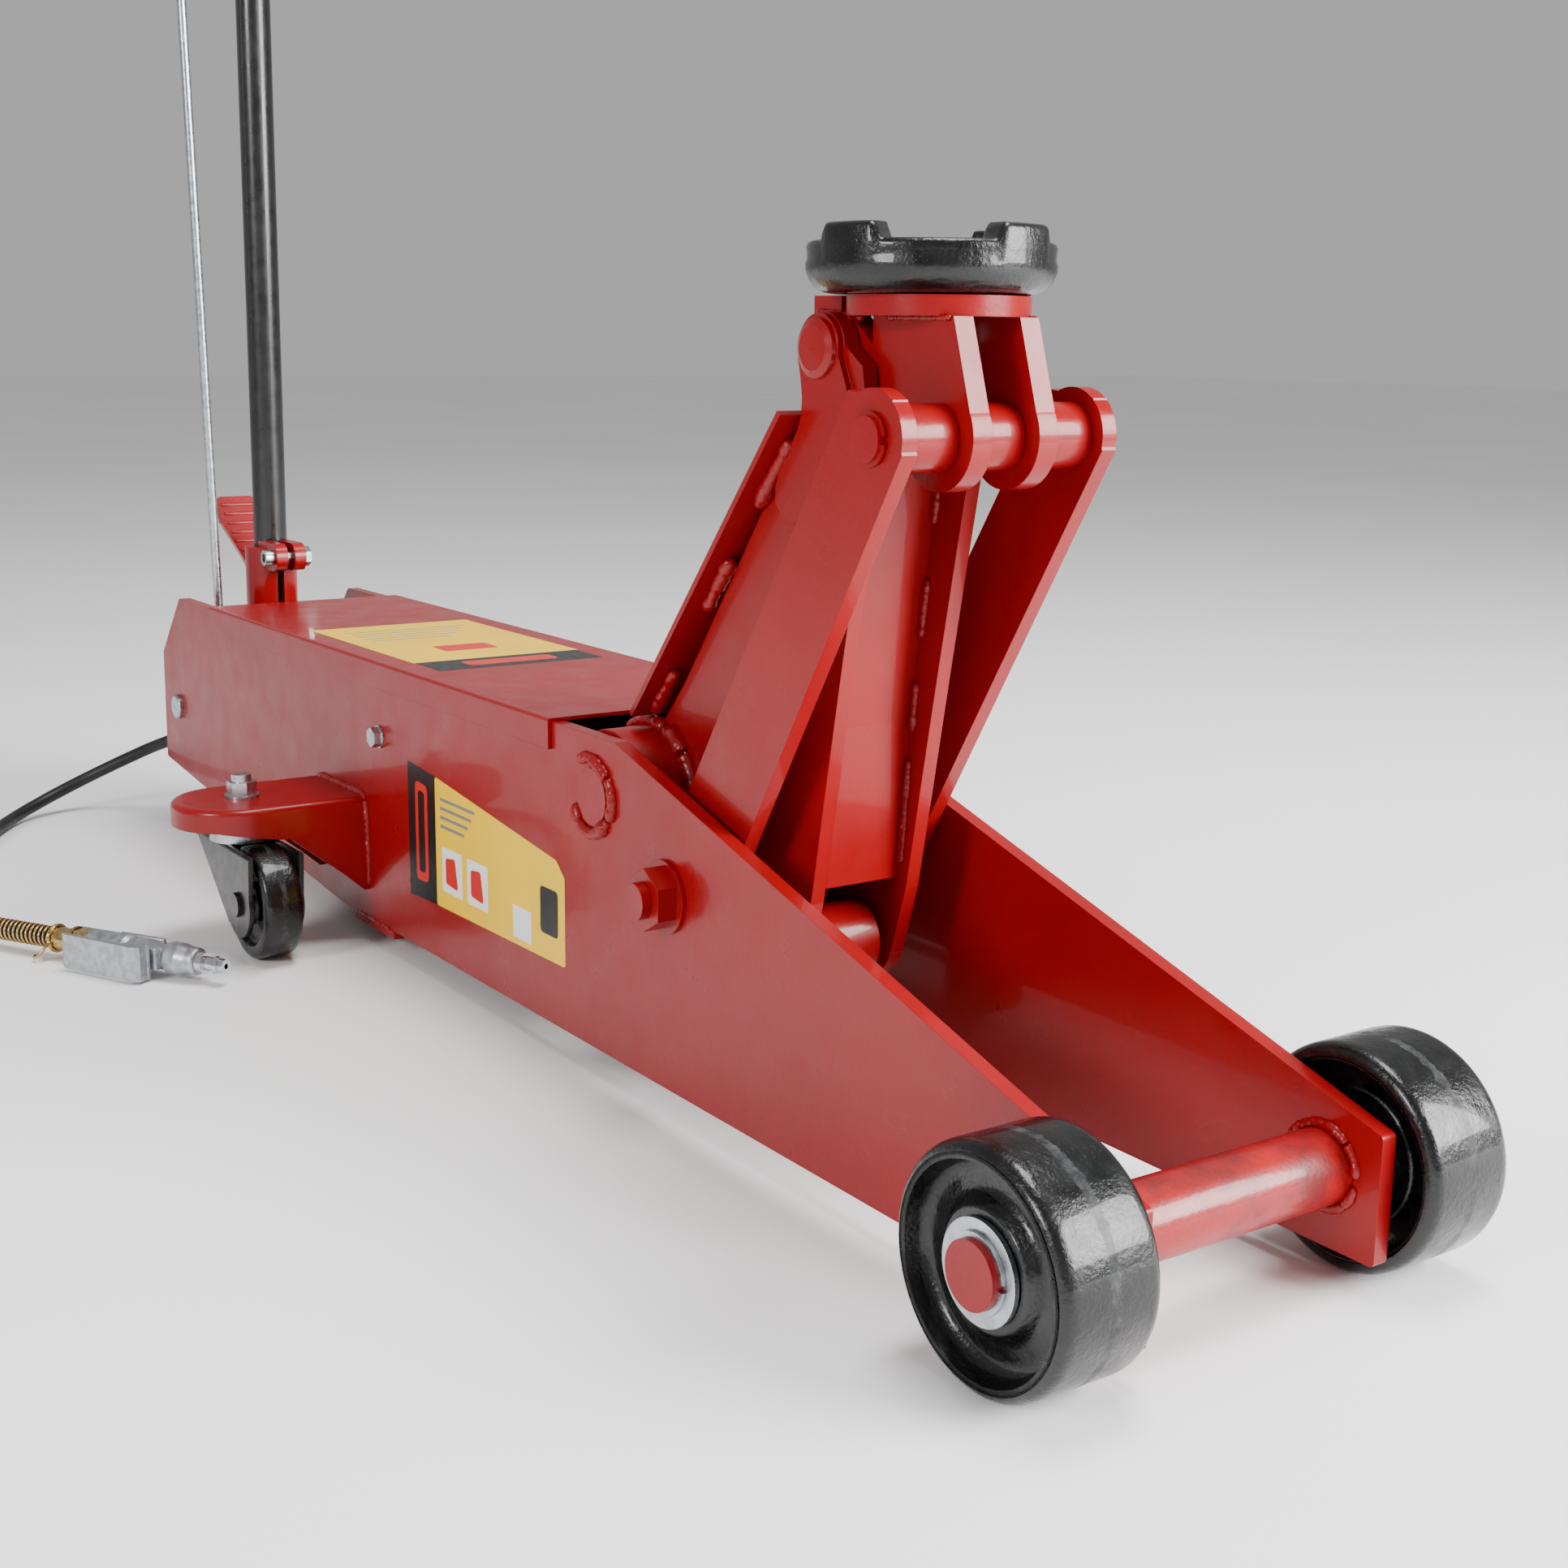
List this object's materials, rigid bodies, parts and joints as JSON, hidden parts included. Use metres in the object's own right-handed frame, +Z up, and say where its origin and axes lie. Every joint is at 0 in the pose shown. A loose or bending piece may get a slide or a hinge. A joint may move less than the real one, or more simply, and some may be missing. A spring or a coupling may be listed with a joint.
{
  "type": "trolley jack",
  "caption": "Long air and hydraulic trolley jack with a parallel lifting arm, round lugged saddle, front wheels, swivel casters, pump handle, foot pedal and air hose with tap",
  "frame": {"origin": "on the floor under the middle of the jack, without its loose hose", "axes": "+X forward to the front wheels, +Z up, +Y to the jack's left, the middle plane of the jack at y = 0"},
  "size_m": [1.5348, 0.6339, 1.2953],
  "materials": {
    "red_enamel": "glossy red enamel on steel",
    "black_paint": "satin black paint on steel",
    "black_cast_iron": "black painted cast iron",
    "zinc_steel": "zinc plated steel",
    "bright_chrome": "hard chrome",
    "yellow_zinc": "yellow zinc plated spring steel",
    "cast_aluminium": "tumbled cast aluminium",
    "black_rubber": "black rubber",
    "black_plastic": "black moulded plastic"
  },
  "bodies": {
    "chassis": {"chassis_plate_right": "red_enamel", "chassis_plate_left": "red_enamel", "top_cover": "red_enamel", "cross_plates": "red_enamel", "front_axle": "zinc_steel", "axle_spacer_tube": "red_enamel", "axle_retainers": "zinc_steel", "link_pivot_bolts": "zinc_steel", "side_screws": "zinc_steel", "caster_bracket_right": "red_enamel", "caster_bracket_left": "red_enamel", "caster_kingpins": "zinc_steel", "arm_pivot_shaft": "red_enamel", "ram_cylinder": "red_enamel", "ram_gland": "black_paint", "pump_block": "red_enamel", "oil_tank": "red_enamel", "air_motor": "cast_aluminium", "release_valve": "red_enamel", "yoke_pins": "zinc_steel", "air_hose": "black_rubber", "spring_guard": "yellow_zinc", "hose_ferrule": "zinc_steel", "tap_body": "cast_aluminium", "tap_nipple": "bright_chrome"},
    "right_front_wheel": {"front_wheel_right": "black_cast_iron"},
    "left_front_wheel": {"front_wheel_left": "black_cast_iron"},
    "right_caster": {"caster_fork_right": "black_paint", "caster_axle_right": "zinc_steel"},
    "left_caster": {"caster_fork_left": "black_paint", "caster_axle_left": "zinc_steel"},
    "right_caster_roll": {"caster_wheel_right": "black_cast_iron"},
    "left_caster_roll": {"caster_wheel_left": "black_cast_iron"},
    "lift_arm": {"arm_side_plates": "red_enamel", "arm_web_plates": "red_enamel", "arm_pivot_tube": "red_enamel", "crank_roller": "red_enamel", "saddle_pin": "zinc_steel"},
    "link_pair": {"link_bars": "red_enamel", "cross_pin": "zinc_steel", "cross_pin_spacers": "red_enamel"},
    "saddle_bracket": {"bracket_plate": "red_enamel", "bracket_lugs": "red_enamel"},
    "saddle_head": {"saddle": "black_cast_iron"},
    "ram": {"ram_rod": "bright_chrome", "ram_head": "red_enamel"},
    "handle": {"handle_yoke": "red_enamel", "clamp_bolt": "zinc_steel", "handle_tube": "black_paint", "handle_grip": "black_rubber", "rod_guide": "zinc_steel", "yoke_roller": "black_paint", "pedal_pin": "zinc_steel"},
    "plunger": {"pump_plunger": "zinc_steel"},
    "pedal": {"foot_pedal": "red_enamel", "pedal_spring": "zinc_steel"},
    "release_shaft": {"release_rod": "zinc_steel", "release_knob": "black_plastic"},
    "release_needle": {"release_spindle": "zinc_steel"},
    "tap_trigger": {"tap_lever": "cast_aluminium"}
  },
  "joints": [
    {"name": "lift", "type": "hinge", "parent": "chassis", "child": "lift_arm", "pos_m": [0.17735, 0, 0.196], "axis": [0, 1, 0], "range_deg": [0, 75.6]},
    {"name": "link_swing", "type": "hinge", "parent": "chassis", "child": "link_pair", "pos_m": [0.27135, 0, 0.149], "axis": [0, 1, 0], "range_deg": [0, 75.6]},
    {"name": "bracket_level", "type": "hinge", "parent": "lift_arm", "child": "saddle_bracket", "pos_m": [0.36135, 0, 0.4915], "axis": [0, 1, 0], "range_deg": [-75.6, 0]},
    {"name": "saddle_turn", "type": "hinge", "parent": "saddle_bracket", "child": "saddle_head", "pos_m": [0.40635, 0, 0.52], "axis": [0, 0, 1], "continuous": true},
    {"name": "ram_slide", "type": "slide", "parent": "chassis", "child": "ram", "axis": [1, 0, 0], "range_m": [-0.183, 0]},
    {"name": "right_wheel_roll", "type": "hinge", "parent": "chassis", "child": "right_front_wheel", "pos_m": [0.66135, -0.1285, 0.0643], "axis": [0, 1, 0], "continuous": true},
    {"name": "left_wheel_roll", "type": "hinge", "parent": "chassis", "child": "left_front_wheel", "pos_m": [0.66135, 0.1285, 0.0643], "axis": [0, 1, 0], "continuous": true},
    {"name": "right_caster_swivel", "type": "hinge", "parent": "chassis", "child": "right_caster", "pos_m": [-0.25165, -0.18, 0.11], "axis": [0, 0, 1], "range_deg": [-180, 0]},
    {"name": "left_caster_swivel", "type": "hinge", "parent": "chassis", "child": "left_caster", "pos_m": [-0.25165, 0.18, 0.11], "axis": [0, 0, 1], "range_deg": [0, 180]},
    {"name": "right_caster_roll", "type": "hinge", "parent": "right_caster", "child": "right_caster_roll", "pos_m": [-0.20865, -0.18, 0.046], "axis": [0, 1, 0], "continuous": true},
    {"name": "left_caster_roll", "type": "hinge", "parent": "left_caster", "child": "left_caster_roll", "pos_m": [-0.20865, 0.18, 0.046], "axis": [0, 1, 0], "continuous": true},
    {"name": "handle_pump", "type": "hinge", "parent": "chassis", "child": "handle", "pos_m": [-0.66025, 0, 0.128], "axis": [0, 1, 0], "range_deg": [-12, 14]},
    {"name": "plunger_slide", "type": "slide", "parent": "chassis", "child": "plunger", "axis": [1, 0, 0], "range_m": [-0.0105, 0.0095]},
    {"name": "pedal_press", "type": "hinge", "parent": "handle", "child": "pedal", "pos_m": [-0.66025, 0, 0.128], "axis": [0, 1, 0], "range_deg": [-25, 0], "stiffness_Nm_per_rad": 6, "springref_deg": 28.65},
    {"name": "release_turn", "type": "hinge", "parent": "handle", "child": "release_shaft", "pos_m": [-0.66025, -0.0474, 0.128], "axis": [0.0184, -0.0232, 0.9996], "range_deg": [-360, 0]},
    {"name": "needle_turn", "type": "hinge", "parent": "chassis", "child": "release_needle", "pos_m": [-0.66025, -0.0474, 0.128], "axis": [0, 0, 1], "range_deg": [-361, 1]},
    {"name": "tap_press", "type": "hinge", "parent": "chassis", "child": "tap_trigger", "pos_m": [-0.19286, -0.28344, 0.016], "axis": [0, 0, -1], "range_deg": [0, 5], "stiffness_Nm_per_rad": 2, "springref_deg": -11.46}
  ],
  "couplings": [
    {"joint": "link_swing", "follows": "lift", "ratio": 1},
    {"joint": "bracket_level", "follows": "lift", "ratio": -1},
    {"joint": "ram_slide", "follows": "lift", "m_per_rad": -0.13793},
    {"joint": "plunger_slide", "follows": "handle_pump", "m_per_rad": -0.0405},
    {"joint": "needle_turn", "follows": "release_turn", "ratio": 1}
  ]
}
